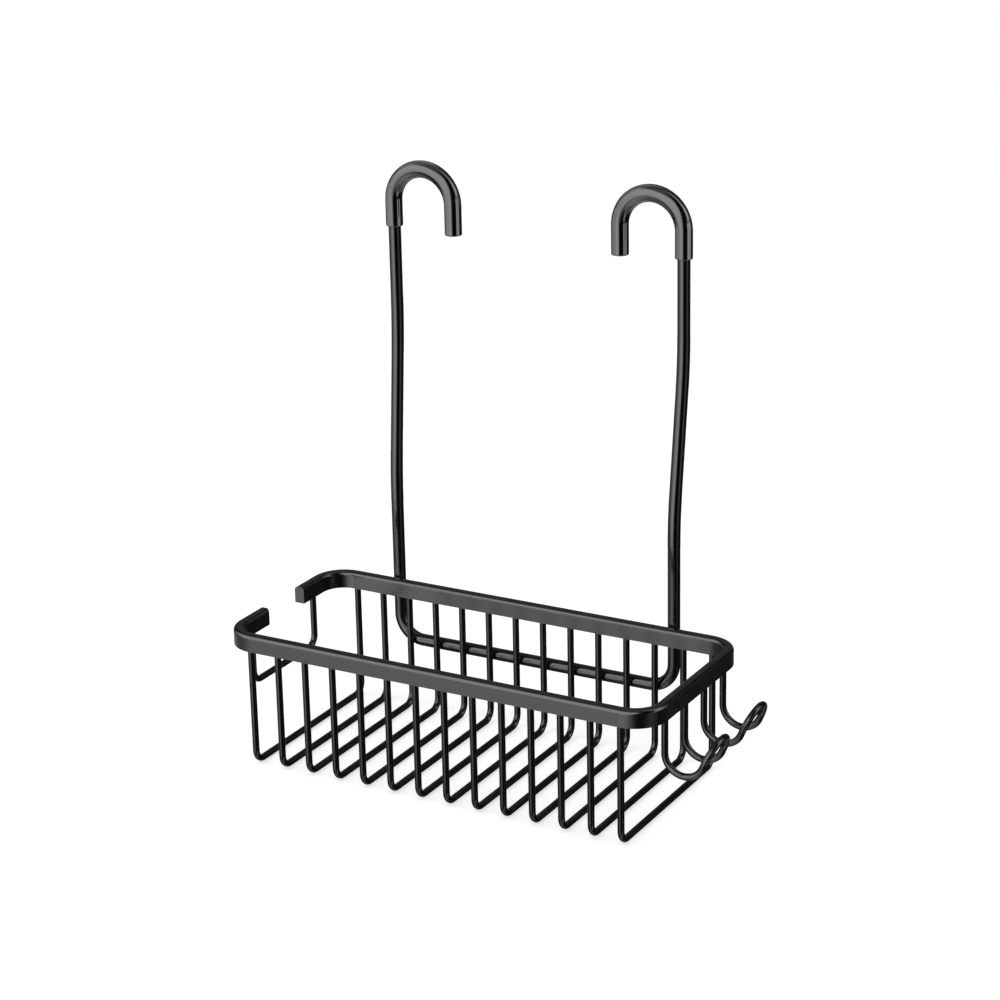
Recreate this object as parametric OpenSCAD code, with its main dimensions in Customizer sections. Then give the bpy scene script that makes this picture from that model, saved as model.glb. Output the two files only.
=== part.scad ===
// Hanging shower caddy: an open wire basket under a flat bar rim, carried by one bent rod whose
// two cane hooks go over the pair of pipe unions of a wall mixer.
// It stands on its bottom wires at z = 0. Front is -Y, the wall side is +Y, the side hooks are at +X.

/* [Basket rim] */
// Width of the rim, left to right
rim_w = 282.5; // [200:0.5:400]
// Depth of the rim, front to back
rim_d = 122.4; // [110:0.1:180]
// Height of the flat bar
rim_h = 10.4; // [8:0.1:16]
// Thickness of the flat bar
rim_t = 6.5; // [5.5:0.1:9]
// Outside radius of the rim's corners
rim_corner_r = 20; // [12:0.5:30]
// Radius of the bar's two rounded top edges
rim_edge_r = 2.2; // [0.5:0.1:2.6]
// Width of the opening in the rim at the left side
rim_gap = 38; // [20:0.5:45]
// Height of the rim's underside above the surface
basket_h = 72.5; // [60:0.5:110]

/* [Basket wires] */
// Diameter of the basket, guard and side hook wire
wire_d = 4; // [3:0.1:5]
// Number of wires across the basket
wire_count = 14; // [8:1:18]
// Inside radius of the bends at the foot of a basket wire
wire_bend_r = 5; // [3:0.5:12]

/* [Guard wire] */
// Distance between the guard wire's two legs, centre to centre
guard_w = 67.4; // [50:0.2:75]
// How far the guard wire reaches below the rim
guard_drop = 34.3; // [20:0.1:50]
// Inside radius of the guard wire's bends
guard_bend_r = 5; // [3:0.5:10]

/* [Side hooks] */
// Clear width between the two strands of a side hook
side_hook_gap = 21.5; // [12:0.5:24]
// How far a side hook reaches below the rim
side_hook_drop = 35; // [22:0.1:50]
// Inside radius of a side hook's bottom bend
side_hook_bend_r = 10; // [6:0.5:14]
// Angle at which a side hook's tip rises
side_hook_rise = 67; // [45:1:80]
// Straight length between the bottom bend and the round tip
side_hook_run = 2; // [1:0.5:10]
// Distance between the two side hooks, centre to centre
side_hook_pitch = 50.5; // [40:0.5:54]
// How far the pair of side hooks sits forward of the middle
side_hook_forward = 0.3; // [0:0.1:4]

/* [Hanger] */
// Diameter of the hanger rod
rod_d = 7.5; // [6:0.1:9]
// Distance between the two pipes that the hooks go over
hook_spacing = 150; // [140:0.5:160]
// Clear width inside a hook
hook_mouth = 30; // [24:0.5:36]
// Height of the seat inside a hook above the surface
hook_seat_z = 332; // [290:1:420]
// Distance between the two rods behind the rim, centre to centre
rod_low_spacing = 187.4; // [150:0.2:200]
// How far the rods step back above the rim
jog_depth = 9.7; // [4:0.1:16]
// Height over which the rods step back
jog_rise = 93; // [60:1:110]
// Height of the middle of the step
jog_mid_z = 194; // [180:1:200]
// Centreline radius of the two soft bends of the step
jog_bend_r = 300; // [100:10:340]
// How far the axis of the bottom bar lies below the rim
bar_drop = 30.2; // [20:0.1:45]
// Centreline radius of the bends into the bottom bar
bar_bend_r = 15.5; // [8:0.5:20]

/* [Hook sleeves] */
// Wall of the soft sleeve on a hook
sleeve_wall = 1.3; // [0.8:0.1:2]
// Clearance all round between the rod and its sleeve
sleeve_clearance = 0.1; // [0.05:0.01:0.2]
// Straight length of the sleeve on the rod's side
sleeve_rod_leg = 15.7; // [8:0.1:25]
// Straight length of the sleeve on the free side
sleeve_free_leg = 17.5; // [10:0.1:25]
// Thickness of the sleeve's closed end
sleeve_cap = 2; // [1:0.1:3]
// Radius of the rounded edge at both ends of the sleeve
sleeve_edge_r = 0.7; // [0.3:0.1:0.7]

/* [Hidden] */
$fn = 64;

wire_r = wire_d / 2;
rod_r = rod_d / 2;
sleeve_bore_r = rod_r + sleeve_clearance;
sleeve_r = sleeve_bore_r + sleeve_wall;

// The part's frame: the middle of the bounding box, at the bottom
side_leg_x = rim_w / 2 - rim_t / 2;
side_hook_w = side_hook_gap + wire_d;
side_hook_r = side_hook_bend_r + wire_r;
side_hook_reach = side_hook_r * (1 + sin(side_hook_rise))
    + (side_hook_run + side_hook_w / 2) * cos(side_hook_rise);
rod_low_y = rim_d / 2 + rod_r;
rod_top_y = rod_low_y + jog_depth;
frame_x = (side_leg_x + side_hook_reach + wire_r - rim_w / 2) / 2;
frame_y = (rod_top_y + sleeve_r - rim_d / 2) / 2;

// Basket wires: they share the straight stretch of the rim evenly, flush with its outer faces
wire_span = rim_w - 2 * rim_corner_r;
wire_pitch = wire_span / (wire_count - 1);
wire_y = rim_d / 2 - wire_r;

// Hanger: the bends over the pipes, then down to the bar behind the basket
hook_r = hook_mouth / 2 + sleeve_r;
hook_top_z = hook_seat_z + sleeve_r;
hook_centre_z = hook_top_z - hook_r;
rod_top_x = hook_spacing / 2 + hook_r;
hook_free_x = hook_spacing / 2 - hook_r;
rod_low_x = rod_low_spacing / 2;
bar_z = basket_h - bar_drop;

// The shortest straight that is made, also the step to which the ends of bends are rounded
hair = 0.01;

// How far a skewed bend laps over the straights that it joins, how much it stands proud of them, and
// the turn that keeps a skewed straight's seam away from the seams of its bends
lap_length = 0.2;
lap_thickness = 0.06;
seam_turn = 90;

function wire_name(i) = str("basket_wire_", i < 9 ? "0" : "", i + 1);
WIRES = [for (i = [0 : wire_count - 1]) wire_name(i)];

// Moves a piece drawn about the middle of the basket into the part's frame
module in_frame() {
    translate([-frame_x, -frame_y, 0]) children();
}

function reversed(v) = [for (i = [len(v) - 1 : -1 : 0]) v[i]];
function unit(v) = v / norm(v);
function turn(a, b) = acos(max(-1, min(1, unit(a) * unit(b))));
function on_axis(v) = max(abs(v.x), abs(v.y), abs(v.z)) > 1 - 1e-9;

// Distance from corner i of a route to the ends of its bend, in whole steps so that neighbours meet
// on round numbers; none at the route's own ends
function bend_cut(points, radii, i) =
    i == 0 || i == len(points) - 1 ? 0
    : hair * round(
        radii[i] * tan(turn(points[i] - points[i - 1], points[i + 1] - points[i]) / 2) / hair
    );

// A round bar from p to q
module straight(p, q, d) {
    v = q - p;
    if (norm(v) > hair)
        translate(p)
            rotate([0, acos(v.z / norm(v)), atan2(v.y, v.x)])
                rotate(on_axis(unit(v)) ? 0 : seam_turn)
                    cylinder(d = d, h = norm(v));
}

// The bend that takes a round bar from direction a to direction b round the corner at p.
// A bend that lies askew is a hair thicker and laps over its neighbours, so that they join as one.
module bend(p, a, b, r, d) {
    angle = turn(a, b);
    centre = p + unit(b - a) * r / cos(angle / 2);
    normal = unit(cross(a, b));
    first = cross(a, normal);
    square = on_axis(a) && on_axis(b);
    lap = square ? 0 : lap_length / r * 180 / PI;
    proud = square ? 0 : lap_thickness;
    multmatrix([
        [first.x, a.x, normal.x, centre.x],
        [first.y, a.y, normal.y, centre.y],
        [first.z, a.z, normal.z, centre.z],
        [0, 0, 0, 1]
    ])
        rotate([0, 0, -lap])
            rotate_extrude(angle = angle + 2 * lap) translate([r, 0]) circle(d = d + 2 * proud);
}

// A round bar bent along a route of corners, each with its centreline radius
module bent_bar(points, radii, d) {
    last = len(points) - 1;
    for (i = [0 : last - 1]) {
        v = unit(points[i + 1] - points[i]);
        straight(
            points[i] + v * bend_cut(points, radii, i),
            points[i + 1] - v * bend_cut(points, radii, i + 1),
            d
        );
    }
    for (i = [1 : last - 1])
        bend(points[i], unit(points[i] - points[i - 1]), unit(points[i + 1] - points[i]), radii[i], d);
}

// Section of the flat bar: inner face at x = 0, underside at y = 0, both top edges rounded
module bar_section() {
    shoulder = rim_h - rim_edge_r;
    square([rim_t, shoulder]);
    translate([rim_edge_r, 0]) square([rim_t - 2 * rim_edge_r, rim_h]);
    for (x = [rim_edge_r, rim_t - rim_edge_r]) translate([x, shoulder]) circle(r = rim_edge_r);
}

// A straight run of the flat bar with its outer face on the line from p to q, to the right of it
module bar_run(p, q) {
    v = q - p;
    translate(q) rotate([90, 0, atan2(-v.x, v.y)])
        linear_extrude(height = norm(v)) translate([-rim_t, 0]) bar_section();
}

// A corner of the flat bar round the point c, swept a quarter turn from the angle start
module bar_corner(c, start) {
    translate(c) rotate([0, 0, start])
        rotate_extrude(angle = 90) translate([rim_corner_r - rim_t, 0]) bar_section();
}

// The rim: one flat bar bent round three sides and both ends of the fourth, open at the left
module rim() {
    a = rim_w / 2;
    b = rim_d / 2;
    r = rim_corner_r;
    g = rim_gap / 2;
    color([0.10, 0.10, 0.105]) in_frame() translate([0, 0, basket_h]) {
        bar_run([-a, -g], [-a, r - b]);
        bar_corner([r - a, r - b], 180);
        bar_run([r - a, -b], [a - r, -b]);
        bar_corner([a - r, r - b], 270);
        bar_run([a, r - b], [a, b - r]);
        bar_corner([a - r, b - r], 0);
        bar_run([a - r, b], [r - a, b]);
        bar_corner([r - a, b - r], 90);
        bar_run([-a, b - r], [-a, g]);
    }
}

// A wire bent into a U that hangs below the rim, with its two legs at from and to
module hanging_u(from, to, drop, bend_r) {
    down = [0, 0, wire_r - drop];
    translate([0, 0, basket_h])
        bent_bar([from, from + down, to + down, to], [0, bend_r + wire_r, bend_r + wire_r, 0], wire_d);
}

// One of the wires that make the front, floor and back of the basket
module basket_wire(i) {
    x = i * wire_pitch - wire_span / 2;
    color([0.07, 0.07, 0.075]) in_frame()
        hanging_u([x, -wire_y, 0], [x, wire_y, 0], basket_h, wire_bend_r);
}

// The low wire that closes the left side under the opening in the rim
module guard_wire() {
    color([0.07, 0.07, 0.075]) in_frame()
        hanging_u([-side_leg_x, -guard_w / 2, 0], [-side_leg_x, guard_w / 2, 0], guard_drop, guard_bend_r);
}

// A side hook: one wire with both legs under the rim, curved outwards and closed by a round tip
module side_hook(y) {
    w = side_hook_w;
    r = side_hook_r;
    foot_z = wire_r - side_hook_drop;
    cut = r * tan(side_hook_rise / 2);
    tip = (cut + side_hook_run + w / 2) * [cos(side_hook_rise), 0, sin(side_hook_rise)];
    half = [[0, 0, 0], [0, 0, foot_z], [r + cut, 0, foot_z], [r + cut, 0, foot_z] + tip];
    near = [for (p = half) p - [0, w / 2, 0]];
    far = [for (p = reversed(half)) p + [0, w / 2, 0]];
    color([0.07, 0.07, 0.075]) in_frame() translate([side_leg_x, y - side_hook_forward, basket_h])
        bent_bar(concat(near, far), [0, r, r, w / 2, w / 2, r, r, 0], wire_d);
}

// Route of a hook over its pipe, on the left (side = -1) or right (side = 1)
function hook_route(side, free_end_z, rod_end) = [
    [side * hook_free_x, rod_top_y, free_end_z],
    [side * hook_free_x, rod_top_y, hook_top_z],
    [side * rod_top_x, rod_top_y, hook_top_z],
    rod_end
];

// Route of one half of the hanger, from the rod's end inside the sleeve to the corner of the bar
function hanger_half(side) = concat(
    hook_route(
        side,
        hook_centre_z - sleeve_free_leg + sleeve_cap,
        [side * rod_top_x, rod_top_y, jog_mid_z + jog_rise / 2]
    ),
    [
        [side * rod_low_x, rod_low_y, jog_mid_z - jog_rise / 2],
        [side * rod_low_x, rod_low_y, bar_z]
    ]
);

// The hanger: one rod, bent into both hooks, both uprights and the bar behind the basket
module hanger() {
    radii = [0, hook_r, hook_r, jog_bend_r, jog_bend_r, bar_bend_r];
    color([0.08, 0.08, 0.085]) in_frame()
        bent_bar(
            concat(hanger_half(-1), reversed(hanger_half(1))),
            concat(radii, reversed(radii)),
            rod_d
        );
}

// The end of a sleeve's leg: a short disc with its lower edge rounded
module rounded_end() {
    e = sleeve_edge_r;
    rotate_extrude() {
        square([sleeve_r - e, e]);
        translate([sleeve_r - e, e]) intersection() {
            circle(r = e);
            translate([0, -e]) square(e);
        }
    }
}

// A soft sleeve over a hook, closed at its free end
module hook_sleeve(side) {
    radii = [0, hook_r, hook_r, 0];
    free_z = hook_centre_z - sleeve_free_leg;
    rod_z = hook_centre_z - sleeve_rod_leg;
    past = 1;
    color([0.16, 0.16, 0.17]) in_frame() difference() {
        union() {
            bent_bar(
                hook_route(side, free_z + sleeve_edge_r, [side * rod_top_x, rod_top_y, rod_z + sleeve_edge_r]),
                radii,
                2 * sleeve_r
            );
            translate([side * hook_free_x, rod_top_y, free_z]) rounded_end();
            translate([side * rod_top_x, rod_top_y, rod_z]) rounded_end();
        }
        bent_bar(
            hook_route(side, free_z + sleeve_cap, [side * rod_top_x, rod_top_y, rod_z - past]),
            radii,
            2 * sleeve_bore_r
        );
    }
}

rim();
hanger();
hook_sleeve(-1);  // hook_sleeve_left
hook_sleeve(1);  // hook_sleeve_right
for (i = [0 : wire_count - 1])
    basket_wire(i);
guard_wire();
side_hook(-side_hook_pitch / 2);  // side_hook_front
side_hook(side_hook_pitch / 2);  // side_hook_rear
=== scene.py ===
import math

import bpy
from mathutils import Matrix, Vector


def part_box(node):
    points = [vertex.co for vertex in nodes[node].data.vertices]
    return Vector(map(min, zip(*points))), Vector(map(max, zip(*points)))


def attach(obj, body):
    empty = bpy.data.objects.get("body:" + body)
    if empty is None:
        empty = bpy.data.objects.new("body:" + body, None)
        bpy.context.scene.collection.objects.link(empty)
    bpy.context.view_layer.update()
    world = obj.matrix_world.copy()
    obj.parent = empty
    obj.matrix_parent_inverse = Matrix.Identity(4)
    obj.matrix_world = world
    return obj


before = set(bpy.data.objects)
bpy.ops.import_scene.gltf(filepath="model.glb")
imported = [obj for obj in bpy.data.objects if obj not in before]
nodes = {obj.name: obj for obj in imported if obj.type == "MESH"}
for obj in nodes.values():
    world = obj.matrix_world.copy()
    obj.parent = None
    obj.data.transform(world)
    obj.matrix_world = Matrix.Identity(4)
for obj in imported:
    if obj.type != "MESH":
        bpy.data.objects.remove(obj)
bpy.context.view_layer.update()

# ---- Rim ----
# One flat steel bar with rolled top edges, bent round the basket and left open at one side. It is
# powder coated in satin black: the powder melts to a fine orange peel that is a little uneven in gloss.


class Socket:
    """A socket of a node tree. Sums of sockets add Math nodes; node() adds any other node."""

    def __init__(self, tree, socket=None):
        self.tree, self.socket = tree, socket

    def node(self, kind, settings=(), inputs=(), output=0):
        """Adds a node: its settings come first, then a value or a link for each input named."""
        made = self.tree.nodes.new(kind)
        for name, value in dict(settings).items():
            setattr(made, name, value)
        for key, value in dict(inputs).items():
            if isinstance(value, Socket):
                self.tree.links.new(value.socket, made.inputs[key])
            else:
                made.inputs[key].default_value = value
        return Socket(self.tree, made.outputs[output] if made.outputs else None)

    def maths(self, operation, *terms):
        return self.node("ShaderNodeMath", {"operation": operation}, dict(enumerate(terms)))

    def __add__(self, other):
        return self.maths("ADD", self, other)

    def __sub__(self, other):
        return self.maths("SUBTRACT", self, other)

    def __rsub__(self, other):
        return self.maths("SUBTRACT", other, self)

    def __mul__(self, other):
        return self.maths("MULTIPLY", self, other)

    def __truediv__(self, other):
        return self.maths("DIVIDE", self, other)

    def __abs__(self):
        return self.maths("ABSOLUTE", self)

    __radd__ = __add__
    __rmul__ = __mul__

    def noise(self, lumps, detail=2.0):
        """Smooth noise from 0 to 1 on these coordinates, with so many lumps to the metre."""
        return self.node("ShaderNodeTexNoise", {}, {"Vector": self, "Scale": lumps, "Detail": detail})

    def blend(self, first, second):
        """The colour that lies this far from the first to the second."""
        share, first_colour, second_colour, result = 0, 6, 7, 2    # where a Mix node keeps colours
        return self.node(
            "ShaderNodeMix",
            {"data_type": "RGBA"},
            {share: self, first_colour: (*first, 1), second_colour: (*second, 1)},
            result,
        )


def cleared(owner):
    """Empties the node tree of a new material or world, and gives a socket to build it from."""
    owner.use_nodes = True
    owner.node_tree.nodes.clear()
    return Socket(owner.node_tree)


def close_finish(tone, dark, light, roughness, relief, depth, gloss):
    """Ends a finish: its colour by tone, its roughness, its relief so deep, and its even gloss."""
    bump = tone.node(
        "ShaderNodeBump", {}, {"Strength": 1.0, "Distance": depth, "Height": relief}, "Normal"
    )
    shader = tone.node(
        "ShaderNodeBsdfPrincipled",
        {},
        {"Base Color": tone.blend(dark, light), "Roughness": roughness, "Normal": bump, **gloss},
    )
    tone.node("ShaderNodeOutputMaterial", {}, {"Surface": shader})


def black_coat(name, dark, light, roughness, peel, peel_depth, gloss):
    """A black coat on metal: mottled in tone and gloss, with a fine peel of lumps in its surface."""
    material = bpy.data.materials.new(name)
    place = cleared(material).node("ShaderNodeTexCoord", output="Object")
    mottle, mottle_spread = place.noise(90, detail=3.0), 0.05
    cloud, cloud_spread = place.noise(22), 0.03
    finer, fine_height = 2.4, 0.4
    close_finish(
        tone=0.5 * mottle + 0.5 * cloud,
        dark=dark,
        light=light,
        roughness=(
            roughness - (mottle_spread + cloud_spread) / 2
            + mottle_spread * mottle
            + cloud_spread * cloud
        ),
        relief=place.noise(peel) + fine_height * place.noise(finer * peel),
        depth=peel_depth,
        gloss=gloss,
    )
    return material


def finish_node(name, material):
    """Gives a CAD piece its finish."""
    for slot in nodes[name].material_slots:
        slot.material = material


BAR_COAT = black_coat(
    "satin_black_bar",
    dark=(0.002, 0.002, 0.0021),
    light=(0.005, 0.005, 0.0052),
    roughness=0.21,
    peel=800,
    peel_depth=3e-6,
    gloss={"IOR": 1.6, "Coat Weight": 1.0, "Coat Roughness": 0.15},
)
finish_node("rim", BAR_COAT)

# ---- Basket wires ----
# Fourteen round steel wires, each bent into a U that makes the front, the floor and the back, and
# butt welded under the rim. The same black coat lies smoother on drawn wire and is a little glossier.

WIRE_COAT = black_coat(
    "black_wire",
    dark=(0.001, 0.001, 0.0011),
    light=(0.002, 0.002, 0.0021),
    roughness=0.14,
    peel=900,
    peel_depth=2e-6,
    gloss={"IOR": 1.5, "Coat Weight": 0.7, "Coat Roughness": 0.09},
)
WIRES = sorted(name for name in nodes if name.startswith("basket_wire_"))
for name in WIRES:
    finish_node(name, WIRE_COAT)

# ---- Guard wire and side hooks ----
# A short U of the same wire closes the low side under the rim's opening. At the other side, two
# doubled wires hang from the rim, curl outwards and end in a closed round tip that holds a loop.

LOOPS = ["guard_wire", "side_hook_front", "side_hook_rear"]
for name in LOOPS:
    finish_node(name, WIRE_COAT)

# ---- Hanger ----
# One thick steel rod makes both hooks, both uprights with their soft step towards the wall, and the
# bar behind the basket. It is coated like the wire, and its smooth round surface shines more.

ROD_COAT = black_coat(
    "black_rod",
    dark=(0.001, 0.001, 0.0011),
    light=(0.003, 0.003, 0.0031),
    roughness=0.15,
    peel=700,
    peel_depth=2e-6,
    gloss={"IOR": 1.5, "Coat Weight": 1.0, "Coat Roughness": 0.1},
)
finish_node("hanger", ROD_COAT)

# ---- Welds ----
# Every wire end is welded to the underside of the rim, and the coat runs over the weld as a small
# hollow fillet. Low round nuggets join the bar to the wires in front of it, and the rods to the rim.

THROAT = 0.0007                # how far a fillet spreads from the wire, under the rim
LEG = 1.6                      # how far it runs down the wire, in throats
FOOT = 0.97                    # how far out its foot starts, in the wire's radius, to be buried in it
INWARD = 0.7                   # how far a basket wire's leans inwards, in throats, off the rim's face
SINK = 0.0001                  # how far its flat top goes into the rim
FILLET_UNEVENNESS = 0.00025
wire_low, wire_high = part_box(WIRES[0])
WIRE_R = (wire_high.x - wire_low.x) / 2


def grown(name, places, group, values, half=None):
    """A piece that a tree of Geometry Nodes grows at these places, as one plain mesh."""
    mesh = bpy.data.meshes.new(name)
    mesh.from_pydata([tuple(p) for p in places], [], [])
    if half:
        sizes = mesh.attributes.new("half_size", "FLOAT_VECTOR", "POINT")
        sizes.data.foreach_set("vector", [c for size in half for c in size])
    made = bpy.data.objects.new(name, mesh)
    bpy.context.scene.collection.objects.link(made)
    modifier = made.modifiers.new("grow", "NODES")
    modifier.node_group = group
    identifiers = {item.name: item.identifier for item in group.interface.items_tree}
    for label, value in values.items():
        modifier[identifiers[label]] = value
    graph = bpy.context.evaluated_depsgraph_get()
    plain = bpy.data.meshes.new_from_object(made.evaluated_get(graph), depsgraph=graph)
    made.modifiers.remove(modifier)
    made.data = plain
    return made


def new_group(name, numbers):
    """A tree of Geometry Nodes that takes places, these numbers and a coat; also gives its inputs."""
    group = bpy.data.node_groups.new(name, "GeometryNodeTree")
    group.interface.new_socket("Geometry", in_out="INPUT", socket_type="NodeSocketGeometry")
    for label in numbers:
        group.interface.new_socket(label, in_out="INPUT", socket_type="NodeSocketFloat")
    group.interface.new_socket("Coat", in_out="INPUT", socket_type="NodeSocketMaterial")
    group.interface.new_socket("Geometry", in_out="OUTPUT", socket_type="NodeSocketGeometry")
    start = Socket(group)
    given = {
        label: start.node("NodeGroupInput", output=label) for label in ("Geometry", *numbers, "Coat")
    }
    return group, given


def settle(given, bead, scale=(1.0, 1.0, 1.0)):
    """Puts a bead at each place, makes each one a little uneven, smooths it and coats it."""
    start = given["Geometry"]
    lumps = 700.0
    beads = start.node(
        "GeometryNodeInstanceOnPoints", {}, {"Points": start, "Instance": bead, "Scale": scale}
    )
    real = start.node("GeometryNodeRealizeInstances", {}, {"Geometry": beads})
    uneven = start.node(
        "ShaderNodeTexNoise",
        {"noise_dimensions": "4D"},
        {
            "Vector": start.node("GeometryNodeInputPosition"),
            "W": given["Seed"],
            "Scale": lumps,
            "Detail": 1.0,
        },
        "Color",
    )
    centred = start.node(
        "ShaderNodeVectorMath", {"operation": "SUBTRACT"}, {0: uneven, 1: (0.5, 0.5, 0.5)}
    )
    offset = start.node(
        "ShaderNodeVectorMath", {"operation": "SCALE"}, {0: centred, "Scale": given["Unevenness"]}
    )
    moved = start.node("GeometryNodeSetPosition", {}, {"Geometry": real, "Offset": offset})
    smooth = start.node("GeometryNodeSetShadeSmooth", {}, {"Geometry": moved})
    coated = start.node(
        "GeometryNodeSetMaterial", {}, {"Geometry": smooth, "Material": given["Coat"]}
    )
    start.node("NodeGroupOutput", {}, {"Geometry": coated})


fillets, given = new_group("weld_fillets", ["Wire Radius", "Throat", "Unevenness", "Seed"])
wire_radius, throat = given["Wire Radius"], given["Throat"]
cone = throat.node(
    "GeometryNodeMeshCone",
    {"fill_type": "NGON"},
    {
        "Vertices": 20,
        "Side Segments": 4,
        "Radius Top": wire_radius + throat,
        "Radius Bottom": wire_radius * FOOT,
        "Depth": throat * LEG,
    },
    "Mesh",
)
# The cone's side is drawn in towards the wire, most of all at half its height
spot = throat.node("GeometryNodeInputPosition")
level = throat.node("ShaderNodeSeparateXYZ", {}, {"Vector": spot}, "Z") / (throat * LEG)
flat = throat.node("ShaderNodeVectorMath", {"operation": "MULTIPLY"}, {0: spot, 1: (1.0, 1.0, 0.0)})
outward = throat.node("ShaderNodeVectorMath", {"operation": "NORMALIZE"}, {0: flat})
hollow = throat.node(
    "ShaderNodeVectorMath",
    {"operation": "SCALE"},
    {0: outward, "Scale": throat * (level * level - level)},
)
settle(given, throat.node("GeometryNodeSetPosition", {}, {"Geometry": cone, "Offset": hollow}))

ends = []
for name in WIRES:
    low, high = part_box(name)
    x = (low.x + high.x) / 2
    inset = WIRE_R + INWARD * THROAT
    ends += [(x, low.y + inset, high.z), (x, high.y - inset, high.z)]
for name in LOOPS:
    low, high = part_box(name)
    ends += [(low.x + WIRE_R, y, high.z) for y in (low.y + WIRE_R, high.y - WIRE_R)]
weld_fillets = grown(
    "weld_fillets",
    [(x, y, z - LEG * THROAT + SINK) for x, y, z in ends],
    fillets,
    {
        "Wire Radius": WIRE_R,
        "Throat": THROAT,
        "Unevenness": FILLET_UNEVENNESS,
        "Seed": 3.0,
        "Coat": WIRE_COAT,
    },
)
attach(weld_fillets, "root")

nuggets, given = new_group("weld_nuggets", ["Unevenness", "Seed"])
pad = given["Seed"].node("GeometryNodeMeshIcoSphere", {}, {"Radius": 1.0, "Subdivisions": 3}, "Mesh")
half_size = given["Seed"].node(
    "GeometryNodeInputNamedAttribute", {"data_type": "FLOAT_VECTOR"}, {"Name": "half_size"}
)
settle(given, pad, half_size)

WIRE_NUGGET = (0.0012, 0.0005, 0.0012)     # half its width, thickness and height
ROD_NUGGET = (0.0027, 0.0007, 0.0044)
ROD_NUGGET_DROP = 0.0004       # how far it sits below the middle of the rim
NUGGET_UNEVENNESS = 0.0003
BEND_TOP, STEP_FOOT = 0.017, 0.1           # the uprights are all but straight between these
BEND_REACH = 0.016             # the bar starts to bend up this far from each upright
rim_low, rim_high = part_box("rim")
rod_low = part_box("hanger")[0]
upright = [
    v.co
    for v in nodes["hanger"].data.vertices
    if rod_low.z + BEND_TOP < v.co.z < rod_low.z + STEP_FOOT
]
rod_r = (max(p.y for p in upright) - min(p.y for p in upright)) / 2
rod_x = [min(p.x for p in upright) + rod_r, max(p.x for p in upright) - rod_r]
places, half_sizes = [], []
for name in WIRES:
    low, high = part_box(name)
    x = (low.x + high.x) / 2
    if rod_x[0] + BEND_REACH < x < rod_x[1] - BEND_REACH:
        places.append((x, high.y, rod_low.z + rod_r))
        half_sizes.append(WIRE_NUGGET)
for x in rod_x:
    places.append((x, rim_high.y, (rim_low.z + rim_high.z) / 2 - ROD_NUGGET_DROP))
    half_sizes.append(ROD_NUGGET)
weld_nuggets = grown(
    "weld_nuggets",
    places,
    nuggets,
    {"Unevenness": NUGGET_UNEVENNESS, "Seed": 5.0, "Coat": ROD_COAT},
    half_sizes,
)
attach(weld_nuggets, "root")

# ---- Hook sleeves ----
# A soft black plastic tube is pushed over each hook so that it doesn't scratch the pipe. It is
# dip moulded, closed at the free end, smooth and glossy, with a very slight ripple along it.

SLEEVE = bpy.data.materials.new("gloss_black_sleeve")
place = cleared(SLEEVE).node("ShaderNodeTexCoord", output="Object")
cloud, ripple, grain = place.noise(60), place.noise(120), place.noise(1500)
close_finish(
    tone=cloud,
    dark=(0.001, 0.001, 0.0011),
    light=(0.0025, 0.0025, 0.0026),
    roughness=0.1 + 0.04 * cloud,
    relief=ripple + 0.06 * grain,
    depth=2.5e-5,
    gloss={"IOR": 1.7, "Coat Weight": 1.0, "Coat Roughness": 0.06},
)
SLEEVES = ["hook_sleeve_left", "hook_sleeve_right"]
for name in SLEEVES:
    finish_node(name, SLEEVE)

# ---- Camera ----
# A long lens a little above the basket and to its right, held almost level.

azimuth, elevation, roll = math.radians(29.523), math.radians(19.263), math.radians(-1.207)
target, distance = Vector((-0.021365, 0.03075, 0.15255)), 1.6607


def away_from(azimuth, elevation):
    """The direction from the part to something at this azimuth, from the front, and elevation."""
    return Vector((
        math.sin(azimuth) * math.cos(elevation),
        -math.cos(azimuth) * math.cos(elevation),
        math.sin(elevation),
    ))


back = away_from(azimuth, elevation)
level_right = Vector((math.cos(azimuth), math.sin(azimuth), 0))
above = back.cross(level_right)
right = level_right * math.cos(roll) + above * math.sin(roll)
up = above * math.cos(roll) - level_right * math.sin(roll)
camera = bpy.data.objects.new("camera", bpy.data.cameras.new("camera"))
camera.data.sensor_width = 36
camera.data.lens = 101.78
camera.data.clip_end = 20
camera.matrix_world = Matrix.Translation(target + back * distance) @ Matrix(
    (right, up, back)
).transposed().to_4x4()
bpy.context.scene.collection.objects.link(camera)
bpy.context.scene.camera = camera

# ---- Floor, panels and lamps ----
# A plain white floor and a white surround. In the gloss the surround shows as a studio: a broad
# panel at the front left, a narrow one at the right, and dark drapes elsewhere.


def rays_in(start):
    """From 0 to 1, whether a ray comes from the camera, from gloss or through glass."""
    return {
        ray: start.node("ShaderNodeLightPath", output=f"Is {ray} Ray")
        for ray in ("Camera", "Glossy", "Transmission")
    }


FLOOR_REACH = 8.0
FLOOR_GREY = 0.6
FLOOR_GLOW = 0.58              # brings the lit grey up to white where the floor is seen
floor_mesh = bpy.data.meshes.new("floor")
floor_mesh.from_pydata(
    [(x * FLOOR_REACH, y * FLOOR_REACH, 0) for x, y in ((-1, -1), (1, -1), (1, 1), (-1, 1))],
    [],
    [(0, 1, 2, 3)],
)
floor = bpy.data.objects.new("floor", floor_mesh)
bpy.context.scene.collection.objects.link(floor)
floor_material = bpy.data.materials.new("floor_white")
start = cleared(floor_material)
ray = rays_in(start)
shown = ray["Camera"] + ray["Glossy"] + ray["Transmission"]
diffuse = start.node("ShaderNodeBsdfDiffuse", {}, {"Color": (FLOOR_GREY, FLOOR_GREY, FLOOR_GREY, 1)})
glow = start.node("ShaderNodeEmission", {}, {"Color": (1, 1, 1, 1), "Strength": shown * FLOOR_GLOW})
both = start.node("ShaderNodeAddShader", {}, {0: diffuse, 1: glow})
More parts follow.
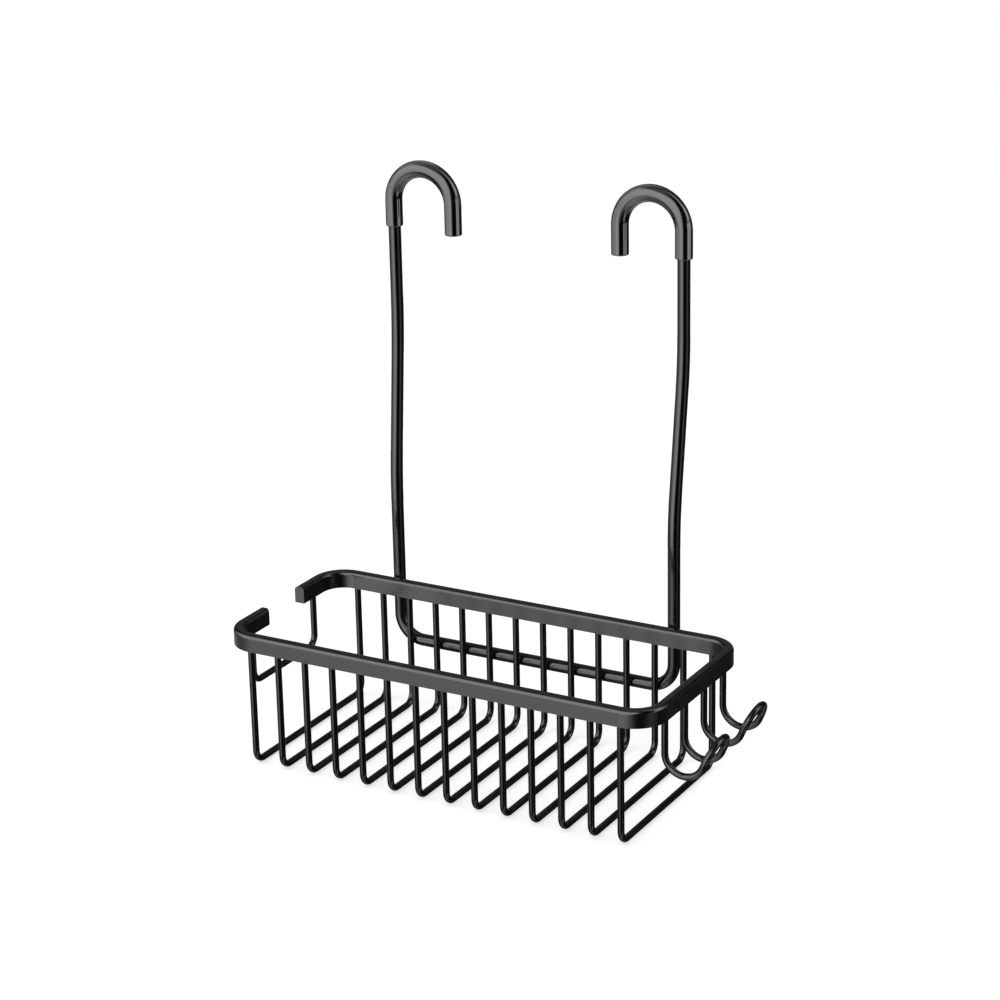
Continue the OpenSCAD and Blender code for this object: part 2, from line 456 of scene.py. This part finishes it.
start.node("ShaderNodeOutputMaterial", {}, {"Surface": both})
floor_mesh.materials.append(floor_material)
floor.visible_glossy = False

# The surround's places: a bearing in degrees, from 0 at the front to 90 at the right, and a height
# from -1 straight below to 1 straight above
world = bpy.data.worlds.new("studio")
start = cleared(world)
bpy.context.scene.world = world
world.cycles.sampling_method = "NONE"
direction = start.node("ShaderNodeTexCoord", output="Generated")
along = {
    axis: start.node("ShaderNodeSeparateXYZ", {}, {"Vector": direction}, axis) for axis in "XYZ"
}
bearing = start.maths("ARCTAN2", along["X"], along["Y"] * -1.0) * (180 / math.pi)
height = along["Z"]


def rise(value, low, high):
    """From 0 at low to 1 at high, smoothly."""
    return value.node(
        "ShaderNodeMapRange",
        {"interpolation_type": "SMOOTHSTEP"},
        {"Value": value, "From Min": low, "From Max": high},
    )


def fall(value, low, high):
    """From 1 at low to 0 at high, smoothly."""
    return 1 - rise(value, low, high)


def panel(middle, half_width, soft):
    """An upright panel about this bearing, with edges so soft, in degrees."""
    return fall((abs(bearing - middle) - half_width) / soft, -1, 1)


# The broad panel: brightest at the front, fading to the left and towards the floor. Upright wires
# show its low part, the rods show its middle, and all that faces upwards shows its high part.
low_part = fall(height, -0.385, -0.35)
high_part = rise(height, -0.12, 0.2)
low_left = (
    (0.4 + 0.87 * rise(bearing, -50, -18))
    * (0.5 + 0.5 * rise(height, -0.43, -0.395))
    * (1 - 0.85 * fall(height, -0.75, -0.5) * fall(bearing, -60, -20))
    * (1 - 0.6 * fall(height, -0.385, -0.37) * fall(bearing, -55, -25))
)
fade = rise(bearing, -100, -15)
middle_left = 0.08 + 0.92 * fade * fade
high_left = rise(bearing, -115, -45)
left_side = low_part * low_left + (1 - low_part - high_part) * middle_left + high_part * high_left
right_edge = 9 + 28 * rise(height, -0.34, 0.5) + 30 * fall(height, -0.9, -0.68)
right_soft = 11 + 15 * fall(height, -0.37, -0.3)
right_side = fall((bearing - right_edge) / right_soft, -1, 1)
key_level = (1.0 + 1.1 * rise(height, -0.42, -0.25)) * (1 - 0.85 * rise(height, 0.64, 0.84))
key_panel = left_side * right_side * key_level

# The narrow panel at the right, which leans a little, and the dim wall beyond it
strip_middle = 88 + 23 * rise(height, -0.1, 0.4) - 16 * fall(height, -0.6, -0.3)
strip_level = (
    0.03
    + 0.9 * rise(height, -0.85, -0.65) * fall(height, -0.5, -0.42)
    + 0.15 * rise(height, -0.4, -0.36)
    + 0.22 * rise(height, -0.34, -0.29)
    + 1.2 * rise(height, 0, 0.22)
) * (1 - 0.8 * rise(height, 0.4, 0.85))
strip_panel = panel(middle=strip_middle, half_width=15, soft=8) * strip_level
wall_level = 0.35 * rise(height, -0.26, 0) + 0.35 * rise(height, 0.1, 0.3)
wall = panel(middle=122, half_width=18, soft=8) * wall_level

# What the room behind, the floor and the ceiling send back, and the least that comes from anywhere
behind = rise(abs(bearing / 180), 0.65, 0.75)
left_rear = fall(bearing, -140, -120) * rise(height, 0.1, 0.3)
room = behind * (0.02 + 0.06 * left_rear + 0.1 * rise(height, 0.58, 0.75))
table_and_ceiling = 0.15 * fall(height, -0.95, -0.8) + 0.06 * rise(height, 0.7, 0.9)
drapes = 0.005
seen_in_gloss = key_panel + strip_panel + wall + room + table_and_ceiling + drapes

# The camera sees plain white, gloss sees the studio, and all else is lit by an even surround
EVEN_LIGHT = 0.7
ray = rays_in(start)
gloss = ray["Glossy"] + ray["Transmission"]
even = 1 - ray["Camera"] - gloss
strength = ray["Camera"] + gloss * seen_in_gloss + even * EVEN_LIGHT
background = start.node("ShaderNodeBackground", {}, {"Color": (1, 1, 1, 1), "Strength": strength})
start.node("ShaderNodeOutputWorld", {}, {"Surface": background})


def lamp(name, azimuth, elevation, distance, size, power, only=()):
    """A soft lamp that looks at the middle of the part, or a panel that only these pieces reflect."""
    light = bpy.data.lights.new(name, "AREA")
    light.shape, light.energy = "RECTANGLE", power
    light.size, light.size_y = size
    made = bpy.data.objects.new(name, light)
    away = away_from(math.radians(azimuth), math.radians(elevation))
    made.location = target + away * distance
    made.rotation_mode = "QUATERNION"
    made.rotation_quaternion = away.to_track_quat("Z", "Y")
    made.visible_camera = False
    made.visible_glossy = bool(only)
    if only:
        lit = bpy.data.collections.new(name + "_lights")
        for piece in only:
            lit.objects.link(piece)
        made.light_linking.receiver_collection = lit
    bpy.context.scene.collection.objects.link(made)


lamp("key_lamp", azimuth=-50, elevation=50, distance=1.6, size=(1.2, 1.2), power=7)
lamp("fill_lamp", azimuth=80, elevation=35, distance=1.8, size=(0.8, 0.8), power=2)

# The sleeves hang well above the basket and show brighter panels, so they alone see these four
sleeves = [nodes[name] for name in SLEEVES]
lamp("hook_strip", azimuth=97, elevation=3.6, distance=0.73, size=(0.6, 0.36), power=0.98, only=sleeves)
lamp("hook_panel", azimuth=-70, elevation=2.5, distance=0.73, size=(0.6, 0.33), power=0.45, only=sleeves)
lamp("hook_ceiling", azimuth=-125, elevation=52, distance=0.7, size=(0.6, 0.6), power=0.45, only=sleeves)
lamp("hook_table", azimuth=-60, elevation=-86, distance=0.135, size=(0.7, 0.7), power=0.6, only=sleeves)

bpy.context.scene.view_settings.view_transform = "Standard"
